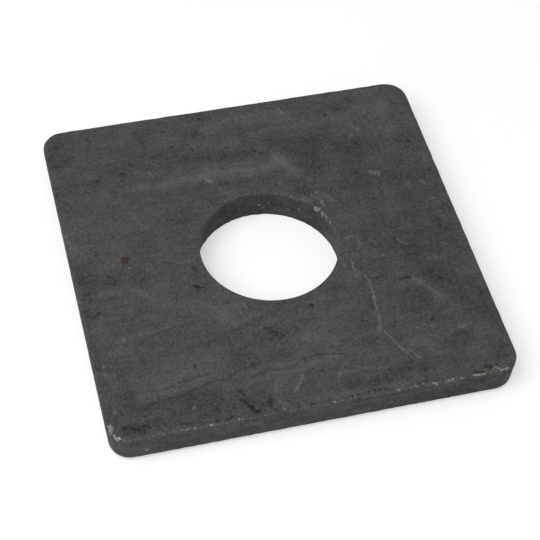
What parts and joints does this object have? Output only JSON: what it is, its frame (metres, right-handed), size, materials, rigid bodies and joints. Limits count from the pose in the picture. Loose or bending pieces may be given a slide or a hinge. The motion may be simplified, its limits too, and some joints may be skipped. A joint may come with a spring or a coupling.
{
  "type": "square plate washer",
  "caption": "Flat square steel washer with a round bolt hole, rounded corners and sheared edges; spreads the load of a bolt head or nut over timber or a slotted hole.",
  "frame": {"origin": "centre of the lower face, on the axis of the bolt hole", "axes": "+Z along the bolt hole from the torn lower face to the rolled upper face; X and Y along the sides of the square"},
  "size_m": [0.05, 0.05, 0.0045],
  "materials": {
    "mill_scale_steel": "dull dark grey hot-rolled mill scale, uncoated, edges worn bright in specks"
  },
  "bodies": {
    "root": {"plate_washer": "mill_scale_steel"}
  },
  "joints": []
}
